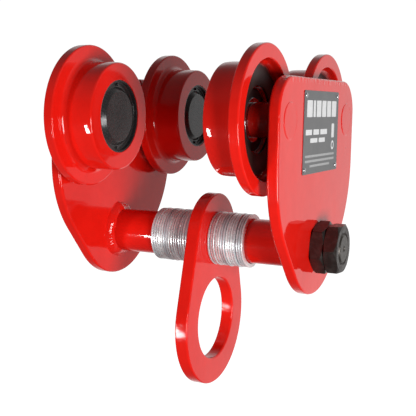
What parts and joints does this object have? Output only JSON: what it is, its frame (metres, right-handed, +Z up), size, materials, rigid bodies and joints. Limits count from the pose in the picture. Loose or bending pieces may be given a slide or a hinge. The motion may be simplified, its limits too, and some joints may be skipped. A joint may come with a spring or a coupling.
{
  "type": "beam trolley",
  "caption": "Push-type trolley with flanged wheels that roll on an I-beam's lower flange, two pear-shaped side plates, a cross shaft and a swinging lifting eye between spacer washers.",
  "frame": {"origin": "middle of the beam's running surface: tread level, midway between the four wheels", "axes": "+X across the beam towards the plate with the nuts, +Y along the beam, +Z up"},
  "size_m": [0.29, 0.34, 0.3803],
  "materials": {
    "red_enamel": "glossy enamel over steel",
    "galvanised": "bright zinc plate",
    "black_oxide": "black oxide with light oil sheen",
    "nameplate_aluminium": "grey anodised print",
    "rivet_aluminium": "bare",
    "black_plastic": "moulded, satin",
    "seal_rubber": "matt",
    "bearing_steel": "ground",
    "spring_steel": "phosphated"
  },
  "bodies": {
    "frame": {"side_plate_left": "red_enamel", "side_plate_right": "red_enamel", "cross_shaft": "red_enamel", "shaft_weld": "red_enamel", "shaft_nuts": "black_oxide", "nameplate": "nameplate_aluminium", "nameplate_rivets": "rivet_aluminium", "axle_front_left": "red_enamel", "bearing_inner_ring_front_left": "bearing_steel", "axle_circlip_front_left": "spring_steel", "axle_front_right": "red_enamel", "bearing_inner_ring_front_right": "bearing_steel", "axle_circlip_front_right": "spring_steel", "axle_rear_left": "red_enamel", "bearing_inner_ring_rear_left": "bearing_steel", "axle_circlip_rear_left": "spring_steel", "axle_rear_right": "red_enamel", "bearing_inner_ring_rear_right": "bearing_steel", "axle_circlip_rear_right": "spring_steel"},
    "wheel_front_left": {"wheel_front_left": "red_enamel", "dust_cap_front_left": "black_plastic", "hub_circlip_front_left": "spring_steel", "bearing_outer_ring_front_left": "bearing_steel", "bearing_seals_front_left": "seal_rubber"},
    "ball_set_front_left": {"bearing_balls_front_left": "bearing_steel", "bearing_cage_front_left": "bearing_steel"},
    "wheel_front_right": {"wheel_front_right": "red_enamel", "dust_cap_front_right": "black_plastic", "hub_circlip_front_right": "spring_steel", "bearing_outer_ring_front_right": "bearing_steel", "bearing_seals_front_right": "seal_rubber"},
    "ball_set_front_right": {"bearing_balls_front_right": "bearing_steel", "bearing_cage_front_right": "bearing_steel"},
    "wheel_rear_left": {"wheel_rear_left": "red_enamel", "dust_cap_rear_left": "black_plastic", "hub_circlip_rear_left": "spring_steel", "bearing_outer_ring_rear_left": "bearing_steel", "bearing_seals_rear_left": "seal_rubber"},
    "ball_set_rear_left": {"bearing_balls_rear_left": "bearing_steel", "bearing_cage_rear_left": "bearing_steel"},
    "wheel_rear_right": {"wheel_rear_right": "red_enamel", "dust_cap_rear_right": "black_plastic", "hub_circlip_rear_right": "spring_steel", "bearing_outer_ring_rear_right": "bearing_steel", "bearing_seals_rear_right": "seal_rubber"},
    "ball_set_rear_right": {"bearing_balls_rear_right": "bearing_steel", "bearing_cage_rear_right": "bearing_steel"},
    "spacer_pack": {"spacer_washers_left": "galvanised", "spacer_washers_right": "galvanised"},
    "lifting_eye": {"lifting_eye": "red_enamel"}
  },
  "joints": [
    {"name": "spin_front_left", "type": "hinge", "parent": "frame", "child": "wheel_front_left", "pos_m": [-0.0815, -0.095, 0.057], "axis": [1, 0, 0], "continuous": true},
    {"name": "ball_set_front_left", "type": "hinge", "parent": "frame", "child": "ball_set_front_left", "pos_m": [-0.0815, -0.095, 0.057], "axis": [1, 0, 0], "continuous": true},
    {"name": "spin_front_right", "type": "hinge", "parent": "frame", "child": "wheel_front_right", "pos_m": [0.0815, -0.095, 0.057], "axis": [1, 0, 0], "continuous": true},
    {"name": "ball_set_front_right", "type": "hinge", "parent": "frame", "child": "ball_set_front_right", "pos_m": [0.0815, -0.095, 0.057], "axis": [1, 0, 0], "continuous": true},
    {"name": "spin_rear_left", "type": "hinge", "parent": "frame", "child": "wheel_rear_left", "pos_m": [-0.0815, 0.095, 0.057], "axis": [1, 0, 0], "continuous": true},
    {"name": "ball_set_rear_left", "type": "hinge", "parent": "frame", "child": "ball_set_rear_left", "pos_m": [-0.0815, 0.095, 0.057], "axis": [1, 0, 0], "continuous": true},
    {"name": "spin_rear_right", "type": "hinge", "parent": "frame", "child": "wheel_rear_right", "pos_m": [0.0815, 0.095, 0.057], "axis": [1, 0, 0], "continuous": true},
    {"name": "ball_set_rear_right", "type": "hinge", "parent": "frame", "child": "ball_set_rear_right", "pos_m": [0.0815, 0.095, 0.057], "axis": [1, 0, 0], "continuous": true},
    {"name": "spacer_slide", "type": "slide", "parent": "frame", "child": "spacer_pack", "axis": [1, 0, 0], "range_m": [-0.049, 0.061]},
    {"name": "eye_swing", "type": "hinge", "parent": "spacer_pack", "child": "lifting_eye", "pos_m": [0.0045, 0, -0.0793], "axis": [1, 0, 0], "range_deg": [-75, 75]}
  ],
  "couplings": [
    {"joint": "ball_set_front_left", "follows": "spin_front_left", "ratio": 0.62},
    {"joint": "ball_set_front_right", "follows": "spin_front_right", "ratio": 0.62},
    {"joint": "ball_set_rear_left", "follows": "spin_rear_left", "ratio": 0.62},
    {"joint": "ball_set_rear_right", "follows": "spin_rear_right", "ratio": 0.62}
  ]
}
